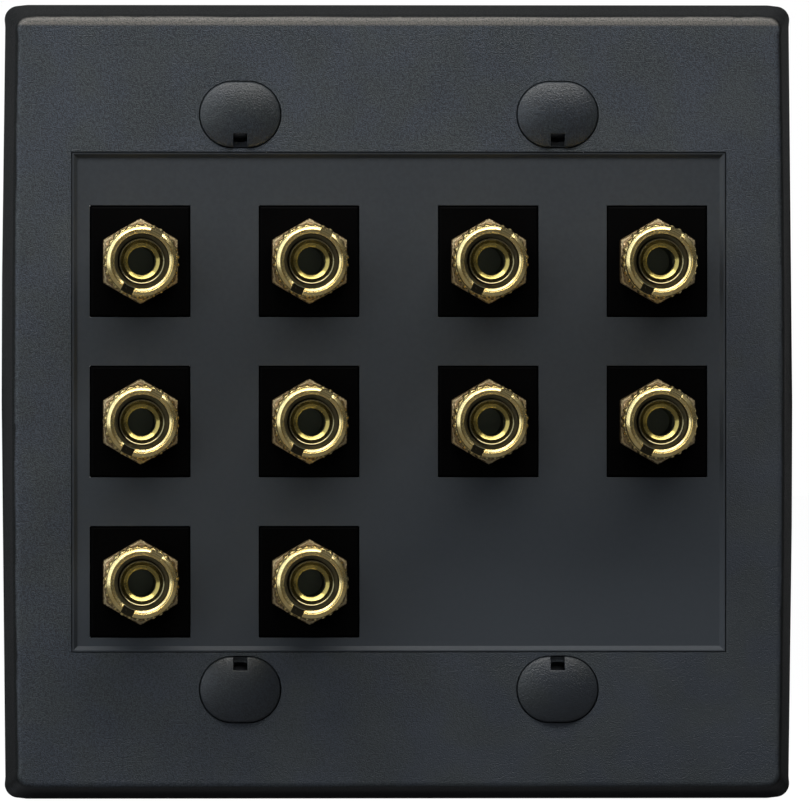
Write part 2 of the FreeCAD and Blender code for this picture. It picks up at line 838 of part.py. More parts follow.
nut_bore = size.stem_r + size.nut_gap
patterns = {
    "jack_housing": make_jack_housing(),
    "binding_post": make_binding_post(),
    "hex_nut": make_nut("hex_nut", panel_out, size.nut_thick, size.nut_flats, nut_bore),
    "clamp_washer": make_clamp_washer(),
    "collar": make_collar(),
}
for number, (across, up) in enumerate(ports, 1):
    for name, pattern in patterns.items():
        pieces.append(place(pattern, f"{name}_{number}", across, up))

rear_nut_back_out = lug_back_out - size.rear_nut_thick
stud_bore = size.stud_r + size.nut_gap
rear_nut = make_nut("rear_nut", rear_nut_back_out, size.rear_nut_thick, size.rear_nut_flats, stud_bore)
pieces.append(group(make_rear_lug(), "rear_lugs", ports))
pieces.append(group(rear_nut, "rear_nuts", ports))


# Checks and STEP files

doc.recompute()
failed = [item.Name for item in doc.Objects if {"Invalid", "Error"} & set(item.State)]
if failed:
    raise RuntimeError(f"these objects failed: {failed}")
shapes = {piece.Label: Part.getShape(piece) for piece in pieces}
bad = [label for label, shape in shapes.items() if shape.isNull() or not shape.isValid()]
if bad:
    raise RuntimeError(f"these pieces have no sound shape: {bad}")

os.makedirs("parts", exist_ok=True)
for label, shape in shapes.items():
    shape.exportStep(f"parts/{label}.step")
    print(f"{label}: {len(shape.Solids)} solid, {shape.Volume:.1f} mm3")
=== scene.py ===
import math

import bmesh
import bpy
from mathutils import Matrix, Vector


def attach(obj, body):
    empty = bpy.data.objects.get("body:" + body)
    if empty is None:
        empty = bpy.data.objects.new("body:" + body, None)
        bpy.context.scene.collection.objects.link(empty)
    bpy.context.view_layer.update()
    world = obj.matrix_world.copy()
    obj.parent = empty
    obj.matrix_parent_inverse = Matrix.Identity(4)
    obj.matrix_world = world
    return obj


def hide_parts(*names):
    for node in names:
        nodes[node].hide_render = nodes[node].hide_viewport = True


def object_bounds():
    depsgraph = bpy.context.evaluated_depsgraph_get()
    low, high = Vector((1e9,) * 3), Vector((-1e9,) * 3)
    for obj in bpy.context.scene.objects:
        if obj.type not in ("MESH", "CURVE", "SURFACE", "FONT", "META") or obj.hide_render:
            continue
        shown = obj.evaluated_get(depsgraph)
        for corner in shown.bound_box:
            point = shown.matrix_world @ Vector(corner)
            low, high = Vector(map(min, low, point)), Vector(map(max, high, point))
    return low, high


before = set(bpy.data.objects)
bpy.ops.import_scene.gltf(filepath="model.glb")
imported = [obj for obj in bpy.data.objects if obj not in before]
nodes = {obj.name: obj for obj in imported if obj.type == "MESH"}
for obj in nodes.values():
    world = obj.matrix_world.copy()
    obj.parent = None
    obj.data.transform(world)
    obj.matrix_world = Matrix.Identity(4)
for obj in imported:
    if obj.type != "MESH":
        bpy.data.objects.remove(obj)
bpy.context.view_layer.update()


# Outer frame. One black moulding with a fine spark-eroded grain on its face and sides.
# It hooks over the inner panel, and four box screws hold it to the wall.

MM = 0.001


class Signal:
    """One output socket of a finish. Sums written with it add Math nodes."""

    def __init__(self, finish, socket):
        self.finish = finish
        self.socket = socket

    def sum(self, operation, *values):
        settings = {"operation": operation}
        return self.finish.node("Math", settings, dict(enumerate(values)))

    def __add__(self, other):
        return self.sum("ADD", self, other)

    def __sub__(self, other):
        return self.sum("SUBTRACT", self, other)

    def __mul__(self, other):
        return self.sum("MULTIPLY", self, other)

    def __radd__(self, other):
        return self.sum("ADD", other, self)

    def __rsub__(self, other):
        return self.sum("SUBTRACT", other, self)

    def __rmul__(self, other):
        return self.sum("MULTIPLY", other, self)

    def between(self, low, high):
        """0 below low, 1 above high and smooth in between."""
        settings = {"interpolation_type": "SMOOTHSTEP"}
        return self.finish.node("MapRange", settings, {"Value": self, "From Min": low, "From Max": high})


class Finish:
    """A material made of nodes, or the nodes of the world."""

    def __init__(self, name, owner=None):
        self.material = owner or bpy.data.materials.new(name)
        self.material.use_nodes = True
        self.tree = self.material.node_tree
        self.tree.nodes.clear()

    def node(self, kind, settings=None, values=None, out=0):
        """Adds a node: its settings first, then the values or links of its inputs."""
        made = self.tree.nodes.new("ShaderNode" + kind)
        for name, setting in (settings or {}).items():
            setattr(made, name, setting)
        for place, value in (values or {}).items():
            if isinstance(value, Signal):
                self.tree.links.new(value.socket, made.inputs[place])
            else:
                made.inputs[place].default_value = value
        return Signal(self, made.outputs[out]) if made.outputs else None

    def noise(self, where, scale, detail=2.0):
        return self.node("TexNoise", None, {"Vector": where, "Scale": scale, "Detail": detail})

    def blend(self, share, low, high):
        """Goes from one colour to another."""
        settings = {"data_type": "RGBA"}
        low, high = (c if isinstance(c, Signal) else (*c, 1.0) for c in (low, high))
        return self.node("Mix", settings, {"Factor": share, 6: low, 7: high}, out=2)

    def bump(self, height, depth):
        """Relief from a height between 0 and 1. The depth is in metres."""
        return self.node("Bump", None, {"Height": height, "Distance": depth, "Strength": 1.0})

    def principled(self, **values):
        """The Principled shader with these inputs."""
        named = {name.replace("_", " "): value for name, value in values.items()}
        return self.node("BsdfPrincipled", None, named)

    def surface(self, **values):
        """A material of one Principled shader."""
        self.node("OutputMaterial", None, {"Surface": self.principled(**values)})
        return self.material

    def part(self, whole, axis):
        """One axis of a vector."""
        return self.node("SeparateXYZ", None, {"Vector": whole}, out=axis)


def softened(node, name, edge, sharp=28):
    """A finer copy of a CAD piece: its flat faces are made whole and its hard edges rounded off."""
    work = bmesh.new()
    work.from_mesh(nodes[node].data)
    bmesh.ops.remove_doubles(work, verts=work.verts, dist=0.002 * MM)
    bmesh.ops.dissolve_limit(work, angle_limit=math.radians(0.8), verts=work.verts, edges=work.edges)
    limit = math.radians(sharp)
    hard = [line for line in work.edges if line.is_manifold and line.calc_face_angle() > limit]
    bmesh.ops.bevel(
        work, geom=hard, offset=edge * MM, segments=2, profile=0.5, affect="EDGES", clamp_overlap=True
    )
    return finished(work, name)


def finished(work, name):
    """Turns bmesh work into a smooth-shaded object whose large faces stay flat."""
    for face in work.faces:
        face.smooth = True
    mesh = bpy.data.meshes.new(name)
    work.to_mesh(mesh)
    work.free()
    piece = bpy.data.objects.new(name, mesh)
    bpy.context.scene.collection.objects.link(piece)
    piece.modifiers.new("flat_faces", "WEIGHTED_NORMAL").keep_sharp = True
    return piece


def fit(piece, body, slot, finish, *replaced):
    """Puts a piece on its body in place of the CAD nodes that it stands for."""
    piece.data.materials.clear()
    piece.data.materials.append(finish)
    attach(piece, body)
    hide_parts(*replaced)


def moulded_black(plastic, where, dark, light, scale, depth, gloss):
    """Black plastic from a grained mould: fine relief, a dull sheen and a faintly uneven tone that
    is bluer here and there. The speckle of the grain's tone fades towards the lower right as painted
    shading, where less light rakes across the grain."""
    grain = plastic.noise(where, scale, 2.0)
    pits = plastic.noise(where, scale * 0.4, 1.0)
    cloud = plastic.noise(where, 90.0, 2.0)
    tint = plastic.noise(where, 150.0, 1.0).between(0.35, 0.65)
    relief = grain * 0.75 + pits * 0.25
    # Painted shading: the grain's speckle fades towards the lower right, where less light rakes across it.
    towards_lower_right = plastic.part(where, "X") - plastic.part(where, "Z") + cloud * 0.02
    grain_shade_fade = towards_lower_right.between(-0.02, 0.10)
    speckle = relief.between(0.36, 0.64) * (1.0 - grain_shade_fade * 0.7) + grain_shade_fade * 0.32
    tone = cloud.between(0.3, 0.7) * 0.1 + speckle * 0.8
    cool = plastic.blend(tone, dark, light)
    warm = plastic.blend(tone, dark, (light[0] * 1.04, light[1] * 1.02, light[2] * 0.86))
    inputs = {
        "Base_Color": plastic.blend(tint, cool, warm),
        "Roughness": gloss + (cloud - 0.5) * 0.12 - (relief - 0.5) * 0.3,
        "Normal": plastic.bump(relief, depth * MM),
    }
    return inputs, relief, tone


FRAME_DARK = (0.009, 0.013, 0.018)
FRAME_LIGHT = (0.058, 0.071, 0.092)
# Painted shade for the frame's sides, and painted light for the sides that face down.
SIDE_SHADE_DARK = (0.008, 0.009, 0.009)
SIDE_SHADE_LIGHT = (0.014, 0.015, 0.016)
UNDERSIDE_PAINTED_LIGHT = (0.062, 0.063, 0.066)
# Painted highlight colour for the frame's rounded top edge.
TOP_EDGE_HIGHLIGHT = (0.170, 0.158, 0.140)
plastic = Finish("frame_plastic")
where = plastic.node("TexCoord", out="Object")
grained, relief, tone = moulded_black(plastic, where, FRAME_DARK, FRAME_LIGHT, 5400.0, 0.16, 0.46)
# Painted highlight: a warm light band along the frame's top edge, broken up by the grain.
near_top = plastic.part(where, "Z").between(54.4 * MM, 54.9 * MM)
rub_marks_and_highlight = near_top * (0.35 + relief.between(0.3, 0.6) * 0.65)
grained["Base_Color"] = plastic.blend(rub_marks_and_highlight, grained["Base_Color"], TOP_EDGE_HIGHLIGHT)
# Painted shade and light on the frame's sides: the flanks mix in a darker, duller shader, and the sides
# that face down are painted lighter.
normal = plastic.node("TexCoord", out="Normal")
outwards = plastic.part(normal, "Y")
flank = outwards.between(-0.95, -0.70) * (1.0 - outwards.between(0.3, 0.6))
underneath = 1.0 - plastic.part(normal, "Z").between(-0.8, -0.3)
side = plastic.principled(
    Base_Color=plastic.blend(underneath, plastic.blend(tone, SIDE_SHADE_DARK, SIDE_SHADE_LIGHT), UNDERSIDE_PAINTED_LIGHT),
    Roughness=0.74 - (relief - 0.5) * 0.2,
    Specular_IOR_Level=0.17,
    Normal=grained["Normal"],
)
both = plastic.node("MixShader", None, {0: flank, 1: plastic.principled(**grained), 2: side})
plastic.node("OutputMaterial", None, {"Surface": both})
frame_plastic = plastic.material

PLATE_WIDE = 115.0
PLATE_TALL = 115.3
SIDE_DRAFT = math.tan(math.radians(14.0))
CORNER_R = 3.4
CORNER_SHOWN_R = 2.2
SKIN = 1.3


def squared_off(piece):
    """Draws the plate's four outer corners out from the CAD's radius to the tighter one shown."""
    centre = CORNER_R - CORNER_SHOWN_R
    for vertex in piece.data.vertices:
        inset = -vertex.co.y / MM * SIDE_DRAFT + CORNER_R
        off_x = abs(vertex.co.x) / MM - (PLATE_WIDE / 2 - inset)
        off_z = abs(vertex.co.z) / MM - (PLATE_TALL / 2 - inset)
        reach = math.hypot(off_x, off_z)
        if min(off_x, off_z) <= 0 or reach < CORNER_R - SKIN:
            continue
        along = (off_x / reach, off_z / reach)
        if CORNER_R * min(along) < centre * max(along):
            edge = CORNER_R / max(along)
        else:
            mean = centre * sum(along)
            edge = mean + math.sqrt(mean * mean - 2 * centre * centre + CORNER_SHOWN_R**2)
        vertex.co.x += math.copysign((edge - CORNER_R) * along[0] * MM, vertex.co.x)
        vertex.co.z += math.copysign((edge - CORNER_R) * along[1] * MM, vertex.co.z)


moulding = softened("face_frame", "frame_moulding", 0.18)
squared_off(moulding)
fit(moulding, "plate", "frame_plastic", frame_plastic, "face_frame")


# Inner panel. A second black moulding, smooth and slightly sunk, with a fine raised rim.
# It drops into the frame's window from behind and carries the ten keystone ports. Small tongues
# of its flange fill the corners beside the screw bosses.

smooth = Finish("panel_plastic")
where = smooth.node("TexCoord", out="Object")
cloud = smooth.noise(where, 70.0, 2.0)
fine = smooth.noise(where, 1500.0, 2.0)
# Painted shade and light: the panel is painted darker towards the top and lighter towards the bottom,
# against the fall of light from the lamp above.
rise = smooth.part(where, "Z") + cloud * 0.012
shade = smooth.blend((rise - 0.006).between(-0.045, 0.045), (0.036, 0.044, 0.054), (0.021, 0.026, 0.032))
even = smooth.blend(fine.between(0.3, 0.7) * 0.14, shade, (0.050, 0.058, 0.068))
panel_plastic = smooth.surface(
    Base_Color=even,
    Roughness=0.58 + (cloud - 0.5) * 0.12,
    Normal=smooth.bump(fine, 0.008 * MM),
)
PANEL_WIDE = 94.5
PANEL_TALL = 72.1
SEAM = 0.25
SEAM_SHOWN = 0.11
panel = softened("port_panel", "panel_moulding", 0.08)
for vertex in panel.data.vertices:
    for axis, edge in ((0, PANEL_WIDE / 2), (2, PANEL_TALL / 2)):
        if abs(abs(vertex.co[axis]) - edge * MM) < 0.09 * MM:
            vertex.co[axis] += math.copysign((SEAM - SEAM_SHOWN) * MM, vertex.co[axis])

SCREW_ACROSS = 23.02
SCREW_UP = 41.67
FLANGE_MIDDLE = 4.05
TONGUE = (3.9, 0.86, 0.62)
TONGUE_ACROSS = 5.85
TONGUE_UP = 36.3
whole = bmesh.new()
whole.from_mesh(panel.data)
for screw in (-SCREW_ACROSS, SCREW_ACROSS):
    for side in (-1, 1):
        for up in (-TONGUE_UP, TONGUE_UP):
            middle = Vector((screw + side * TONGUE_ACROSS, -FLANGE_MIDDLE, up))
            tongue = bmesh.ops.create_cube(whole, size=1.0)["verts"]
            bmesh.ops.scale(whole, vec=Vector(TONGUE) * MM, verts=tongue)
            bmesh.ops.translate(whole, vec=middle * MM, verts=tongue)
whole.to_mesh(panel.data)
whole.free()
fit(panel, "plate", "panel_plastic", panel_plastic, "port_panel")


# Screw covers. Small domed ovals of the same black plastic that snap into the frame's wells.
# A notch in the edge next to the panel takes a screwdriver's tip to pry them out. Here they
# fill their wells a little more than in the CAD, and the notch is shallower.

COVER_DARK = (0.010, 0.013, 0.016)
COVER_LIGHT = (0.034, 0.041, 0.052)
satin = Finish("cover_plastic")
where = satin.node("TexCoord", out="Object")
cover_plastic = satin.surface(**moulded_black(satin, where, COVER_DARK, COVER_LIGHT, 4800.0, 0.11, 0.37)[0])

COVER_FILLS = (1.028, 1.033)
NOTCH_HALF = 1.1
NOTCH_FLOOR = 4.6
NOTCH_FLOOR_SHOWN = 6.1
NOTCH_FROM = 2.4
for corner in ("top_left", "top_right", "bottom_left", "bottom_right"):
    cover = "screw_cover_" + corner
    cap = softened(cover, cover + "_cap", 0.10)
    middle_x = SCREW_ACROSS * MM * (-1 if "left" in corner else 1)
    middle_z = SCREW_UP * MM * (1 if "top" in corner else -1)
    for vertex in cap.data.vertices:
        off_x = vertex.co.x - middle_x
        off_z = vertex.co.z - middle_z
        in_notch = abs(off_x) < NOTCH_HALF * MM and abs(off_z) > NOTCH_FROM * MM
        if in_notch and abs(vertex.co.y + NOTCH_FLOOR * MM) < 0.15 * MM:
            vertex.co.y -= (NOTCH_FLOOR_SHOWN - NOTCH_FLOOR) * MM
        vertex.co.x = middle_x + off_x * COVER_FILLS[0]
        vertex.co.z = middle_z + off_z * COVER_FILLS[1]
    fit(cap, cover, "cover_plastic", cover_plastic, cover)


# Box screws. Zinc-plated steel, 6-32 thread, with slotted oval heads under the covers.
# Each is turned, with a plain neck through the frame's floor and a rolled thread from there on.

BOX_SCREWS = [(x, z) for x in (-SCREW_ACROSS, SCREW_ACROSS) for z in (SCREW_UP, -SCREW_UP)]


def eased(profile, radius):
    """Rounds the corners of a turned profile of (depth out, radius) points."""
    points = [Vector(point) for point in profile]
    rounded = [points[0]]
    for before, corner, after in zip(points, points[1:], points[2:]):
        ends = []
        for other in (before, after):
            reach = other - corner
            ends.append(corner + reach.normalized() * min(radius, reach.length * 0.4))
        for share in (0.0, 0.5, 1.0):
            rounded.append(ends[0].lerp(corner, share).lerp(corner.lerp(ends[1], share), share))
    return rounded + [points[-1]]


def stepped(start, end, pitch):
    """Depths from start to end, close enough to carry a thread of this pitch."""
    count = max(2, round(abs(end - start) / pitch * 8))
    return [start + (end - start) * n / count for n in range(count + 1)]


def thread(out, turn, pitch, depth):
    """How far a right-hand thread lies below its crest, at a depth out and a turn from the top."""
    phase = (out / pitch + turn / math.tau) % 1.0
    flank = abs(phase * 2 - 1)
    return -depth * min(1.0, max(0.0, (flank - 0.12) / 0.7))


def turned(rows, steps, relief, ring=False):
    """A lathe-turned skin about the line of depth. Each row is (depth out, radius); relief adds to
    the radius at a depth, radius and turn. A ring has a through-bore: its last row joins its first."""
    work = bmesh.new()
    loops = []
    for out, radius in rows:
        if radius < 1e-6:
            loops.append([work.verts.new((0, -out * MM, 0))])
            continue
        loop = []
        for step in range(steps):
            turn = math.tau * step / steps
            here = (radius + relief(out, radius, turn)) * MM
            loop.append(work.verts.new((here * math.sin(turn), -out * MM, here * math.cos(turn))))
        loops.append(loop)
    pairs = list(zip(loops, loops[1:]))
    if ring:
        pairs.append((loops[-1], loops[0]))
    for low, high in pairs:
        for step in range(steps):
            after = (step + 1) % steps
            corners = [low[step % len(low)], low[after % len(low)]]
            corners += [high[after % len(high)], high[step % len(high)]]
            work.faces.new(list(dict.fromkeys(corners)))
    bmesh.ops.recalc_face_normals(work, faces=work.faces)
    return work


def cut_out(piece, size, centre, turn=0.0, round_bar=False):
    """Mills a slot, or drills a hole across, with a cutter of this size in mm."""
    work = bmesh.new()
    if round_bar:
        bmesh.ops.create_cone(work, cap_ends=True, segments=40, radius1=0.5, radius2=0.5, depth=1.0)
        bmesh.ops.rotate(work, verts=work.verts, matrix=Matrix.Rotation(math.pi / 2, 3, "Y"))
    else:
        bmesh.ops.create_cube(work, size=1.0)
    bmesh.ops.scale(work, vec=Vector(size) * MM, verts=work.verts)
    bmesh.ops.rotate(work, verts=work.verts, matrix=Matrix.Rotation(turn, 3, "Y"))
    bmesh.ops.translate(work, vec=Vector(centre) * MM, verts=work.verts)
    mesh = bpy.data.meshes.new("cutter")
    work.to_mesh(mesh)
    work.free()
    cutter = bpy.data.objects.new("cutter", mesh)
    bpy.context.scene.collection.objects.link(cutter)
    mill = piece.modifiers.new("mill", "BOOLEAN")
    mill.operation = "DIFFERENCE"
    mill.solver = "EXACT"
    mill.object = cutter
    piece.modifiers.move(len(piece.modifiers) - 1, 0)
    shown = piece.evaluated_get(bpy.context.evaluated_depsgraph_get())
    milled = bpy.data.meshes.new_from_object(shown)
    piece.modifiers.remove(mill)
    piece.data = milled
    bpy.data.objects.remove(cutter)


def sharpened(piece, angle=38):
    """Keeps edges crisp where the faces meet at more than this angle, and the rest smooth."""
    piece.data.set_sharp_from_angle(angle=math.radians(angle))


def repeated(piece, places):
    """Joins copies of a piece at these (across, up) places into its own mesh."""
    source = bmesh.new()
    source.from_mesh(piece.data)
    whole = bmesh.new()
    for across, up in places:
        patch = source.copy()
        bmesh.ops.translate(patch, vec=(across * MM, 0, up * MM), verts=patch.verts)
        mesh = bpy.data.meshes.new("copy")
        patch.to_mesh(mesh)
        patch.free()
        whole.from_mesh(mesh)
        bpy.data.meshes.remove(mesh)
    whole.to_mesh(piece.data)
    whole.free()
    source.free()


def plated(name, base, deep, scale, depth, gloss, lay):
    """Plated metal: fine lathe marks round the axis, a faint uneven tone and small handling marks."""
    metal = Finish(name)
    where = metal.node("TexCoord", out="Object")
    spread = metal.node("Mapping", None, {"Vector": where, "Scale": lay})
    marks = metal.noise(spread, scale, 2.0)
    cloud = metal.noise(where, 420.0, 3.0)
    specks = metal.noise(where, 5200.0, 1.0)
    tone = cloud.between(0.35, 0.7) * 0.7 + specks.between(0.6, 0.75) * 0.3
    return metal.surface(
        Base_Color=metal.blend(tone, base, deep),
        Metallic=1.0,
        Roughness=gloss + marks * 0.10 + cloud.between(0.45, 0.7) * 0.08,
        Normal=metal.bump(marks * 0.8 + specks * 0.2, depth * MM),
    )


SCREW_TOP = 5.1
SCREW_SEAT = 3.2
SCREW_NECK = 1.4
SCREW_END = -22.2
SCREW_R = 1.75
NECK_R = 1.5
SCREW_HEAD_R = 3.45
SCREW_PITCH = 0.794


def screw_relief(out, radius, turn):
    """The thread, which starts behind the plain neck."""
    if out < SCREW_NECK - 0.1 and abs(radius - SCREW_R) < 0.05:
        return thread(out, turn, SCREW_PITCH, 0.3)
    return 0


screw_steel = plated(
    "screw_steel", (0.60, 0.60, 0.61), (0.44, 0.45, 0.47), 2400.0, 0.004, 0.28, (1.0, 1.0, 1.0)
)
head = [(SCREW_TOP, 0.0), (SCREW_TOP, 1.7), (SCREW_TOP - 0.8, SCREW_HEAD_R), (SCREW_SEAT, SCREW_HEAD_R)]
head += [(SCREW_SEAT, NECK_R), (SCREW_NECK, NECK_R)]
shank = [(out, SCREW_R) for out in stepped(SCREW_NECK - 0.2, SCREW_END + 1.0, SCREW_PITCH)]
point = [(SCREW_END, 0.9), (SCREW_END, 0.0)]
box_screw = finished(turned(eased(head, 0.12) + shank + point, 36, screw_relief), "box_screws")
cut_out(box_screw, (8.0, 0.9, 1.0), (0, -(SCREW_TOP - 0.43), 0))
sharpened(box_screw)
repeated(box_screw, BOX_SCREWS)
fit(box_screw, "plate", "screw_steel", screw_steel, "mounting_screws")


# Keystone housings. Deep black mouldings with a dull face, a fixed hook below and a springy
# latch above. Each snaps into its port from the front and holds one binding post.

COLUMNS = (-37.5, -13.0, 13.0, 37.5)
ROW_TOP = 20.4
ROW_PITCH = 23.24
PORTS = [(x, ROW_TOP) for x in COLUMNS]
PORTS += [(x, ROW_TOP - ROW_PITCH) for x in COLUMNS]
PORTS += [(x, ROW_TOP - ROW_PITCH * 2) for x in COLUMNS[:2]]
KEY_WIDE = 14.5
KEY_TALL = 16.1
FILLS = 0.055
PORT_BACK = 1.6


def filled_out(block, port):
    """Moves the faces that stand against the port's walls out to them, as a snap fit does."""
    for vertex in block.data.vertices:
        for axis, middle, half in ((0, port[0], KEY_WIDE / 2), (2, port[1], KEY_TALL / 2)):
            off = vertex.co[axis] - middle * MM
            if vertex.co.y < -PORT_BACK * MM and abs(abs(off) - half * MM) < 0.03 * MM:
                vertex.co[axis] += math.copysign(FILLS * MM, off)


housing = Finish("housing_plastic")
place = housing.node("TexCoord", out="Object")
matt = housing.noise(place, 2600.0, 3.0)
flow = housing.noise(place, 130.0, 1.0)
housing_plastic = housing.surface(
    Base_Color=housing.blend(flow.between(0.3, 0.7), (0.0006, 0.0006, 0.0007), (0.0010, 0.0010, 0.0011)),
    Roughness=0.62 + (flow - 0.5) * 0.16 + (matt - 0.5) * 0.2,
    Specular_IOR_Level=0.03,
    Normal=housing.bump(matt, 0.012 * MM),
)
for number, port in enumerate(PORTS, 1):
    node = f"jack_housing_{number}"
    block = softened(node, f"keystone_housing_{number}", 0.12)
    filled_out(block, port)
    fit(block, "plate", "housing_plastic", housing_plastic, node)


# Lock nuts. Six-sided, 10.8 mm across the flats, sawn from brass bar and barrel plated, so that
# their gold is dull and frosty. Each draws its post against the housing's face.

NUT_BACK = 5.8
NUT_FRONT = 9.0


def hexagon(turn, flats):
    """Distance from the axis to a hexagon with points up and down, its corners slightly blunt."""
    off = turn % (math.pi / 3) - math.pi / 6
    return min(flats / 2 / math.cos(off), flats / math.sqrt(3) * 0.992)


def hex_nut(name, back, front, flats, bore):
    """A nut with a bevelled front, eased edges and a countersunk bore."""
    steps = 96
    slope = math.tan(math.radians(30))
    flat = flats / 2 - 0.1
    inside_corner = flats / math.sqrt(3) * 0.955
    work = bmesh.new()
    loops = [[] for row in range(10)]
    for step in range(steps):
        turn = math.tau * step / steps
        side = hexagon(turn, flats)
        section = [
            (bore, back),
            (bore, front - 0.35),
            (bore + 0.3, front),
            (flat - 0.12, front),
            (flat + 0.05, front - 0.04),
            (min(inside_corner, side), front - max(0.0, min(inside_corner, side) - flat) * slope),
            (side - 0.14, front - (side - flat) * slope),
            (side, front - (side - flat) * slope - 0.16),
            (side, back + 0.12),
            (side - 0.12, back),
        ]
        for loop, (radius, out) in zip(loops, section):
            place = (radius * math.sin(turn), -out, radius * math.cos(turn))
            loop.append(work.verts.new(Vector(place) * MM))
    for low, high in zip(loops, loops[1:] + loops[:1]):
        for step in range(steps):
            after = (step + 1) % steps
            work.faces.new([low[step], low[after], high[after], high[step]])
    bmesh.ops.recalc_face_normals(work, faces=work.faces)
    return finished(work, name)


def spread_out(pattern, name, body, slot, finish, node):
    """Copies of one piece at the ports, each in place of its own CAD node."""
    for number, (across, up) in enumerate(PORTS, 1):
        copy = bpy.data.objects.new(f"{name}_{number}", pattern.data)
        bpy.context.scene.collection.objects.link(copy)
        copy.modifiers.new("flat_faces", "WEIGHTED_NORMAL").keep_sharp = True
        copy.location = (across * MM, 0, up * MM)
        fit(copy, body.format(number), slot, finish, node.format(number))
    bpy.data.objects.remove(pattern)


frosted = Finish("gold_frosted")
place = frosted.node("TexCoord", out="Object")
dents = frosted.noise(place, 2100.0, 3.0)
pitting = frosted.node("TexVoronoi", None, {"Vector": place, "Scale": 3000.0})
tarnish = frosted.noise(place, 700.0, 2.0)
rub_marks_and_highlight = (dents - tarnish * 0.3).between(0.30, 0.55)
frost = frosted.blend(tarnish.between(0.38, 0.62), (0.52, 0.38, 0.21), (0.74, 0.57, 0.26))
outwards = frosted.part(frosted.node("TexCoord", out="Normal"), "Y")
# Painted highlight: the nuts' front chamfer is painted a bright gold, and its frosted relief is smoother
# there.
chamfer_highlight = outwards.between(-0.76, -0.68) * (1.0 - outwards.between(-0.40, -0.20))
flecked = frosted.blend(rub_marks_and_highlight, (0.22, 0.15, 0.08), frost)
gold_frosted = frosted.surface(
    Base_Color=frosted.blend(chamfer_highlight, flecked, (0.90, 0.74, 0.44)),
    Metallic=1.0,
    Roughness=0.50 - rub_marks_and_highlight * 0.20,
    Normal=frosted.bump((dents * 0.7 + pitting * 0.3) * (1.0 - chamfer_highlight * 0.8), 0.16 * MM),
)
nut = hex_nut("nut_pattern", NUT_BACK, NUT_FRONT, 10.8, 3.35)
spread_out(nut, "lock_nut", "plate", "gold_frosted", gold_frosted, "hex_nut_{}")


# Binding posts. Turned brass, gold plated: a threaded stem with a funnel mouth, a 4 mm socket
# down its middle and a cross hole for bare wire. The base sits in the housing's back.

TIP = 17.8
BASE_FRONT = -9.3
BASE_BACK = -11.3
STUD_END = -20.3
STEM_R = 3.3
STEM_PITCH = 1.0
STEM_THREAD_END = 9.2
STUD_R = 2.0
STUD_PITCH = 0.7
BORE_R = 2.0
FUNNEL_R = 2.6
THROAT = TIP - 1.05
GILT = (0.93, 0.76, 0.36)
GILT_DEEP = (0.84, 0.62, 0.24)
GILT_NICKED = (0.42, 0.30, 0.13)
# Painted shade: the darker gold of the funnel mouth.
FUNNEL_SHADE_INNER = (0.34, 0.27, 0.085)
FUNNEL_SHADE_OUTER = (0.22, 0.19, 0.10)
# Painted shade on the stem's outer edge, and painted light on the floor of the collar's recess.
STEM_EDGE_SHADE = (0.03, 0.028, 0.02)
GAP_PAINTED_LIGHT = (0.80, 0.74, 0.50)
# Painted shade: the dark floor of the collar's slot.
SLOT_SHADE = (0.10, 0.085, 0.05)
# Painted shade: the socket bore's darker, greyer gold.
BORE_SHADE = (0.42, 0.44, 0.36)
gold = Finish("gold_polished")
place = gold.node("TexCoord", out="Object")
inwards = gold.part(place, "Y")
flattened = gold.node("CombineXYZ", None, {"X": gold.part(place, "X"), "Z": gold.part(place, "Z")})
from_axis = gold.node("VectorMath", {"operation": "LENGTH"}, {0: flattened}, out="Value")
lathe_line = gold.node("CombineXYZ", None, {"X": from_axis, "Y": inwards})
lathe_marks = gold.noise(lathe_line, 9000.0, 2.0)
cloud = gold.noise(place, 620.0, 3.0)
nicks = gold.noise(place, 4200.0, 2.0)


def beyond(radius, blur=0.05):
    """1 outside this radius in mm."""
    return from_axis.between(radius * MM, (radius + blur) * MM)


def behind(out, blur=0.1):
    """1 further in than this depth in mm."""
    return inwards.between(-out * MM, (blur - out) * MM)


# Painted shade down the socket bore, which is also rougher.
in_bore = (1.0 - beyond(2.05, 0.1)) * behind(16.7, 1.2) * (1.0 - behind(1.7, 0.2))
# Painted shade over the funnel and the stem's rim, darker towards the funnel's outer edge.
in_funnel = (1.0 - beyond(3.24, 0.04)) * (1.0 - behind(16.7, 1.2))
# Painted shade on the stem's edge and painted light in the recess round it, which is also duller.
in_gap = beyond(3.22) * (1.0 - beyond(3.98, 0.07)) * behind(18.15)
# Painted shade on the floor of the collar's slot.
in_slot = beyond(4.0) * behind(18.15) * (1.0 - behind(17.2))
on_face = beyond(3.9, 0.1) * (1.0 - behind(18.2))
funnel_shade = gold.blend(beyond(2.5, 0.2), FUNNEL_SHADE_INNER, FUNNEL_SHADE_OUTER)
gap_light_and_shade = gold.blend(beyond(3.32, 0.08), STEM_EDGE_SHADE, GAP_PAINTED_LIGHT)
rich = gold.blend(cloud.between(0.35, 0.68), GILT, GILT_DEEP)
tone = gold.blend(nicks.between(0.60, 0.74) * 0.55, rich, GILT_NICKED)
tone = gold.blend(in_funnel, tone, funnel_shade)
tone = gold.blend(in_gap, tone, gap_light_and_shade)
tone = gold.blend(in_slot, tone, SLOT_SHADE)
tone = gold.blend(in_bore, tone, BORE_SHADE)
wear = lathe_marks * 0.14 + nicks.between(0.55, 0.75) * 0.16
gold_polished = gold.surface(
    Base_Color=tone,
    Metallic=1.0,
    Roughness=0.11 + wear + in_bore * 0.3 + in_gap * 0.2,
    Normal=gold.bump(lathe_marks * (0.1 + on_face * 0.9) + nicks * 0.02, 0.045 * MM),
)
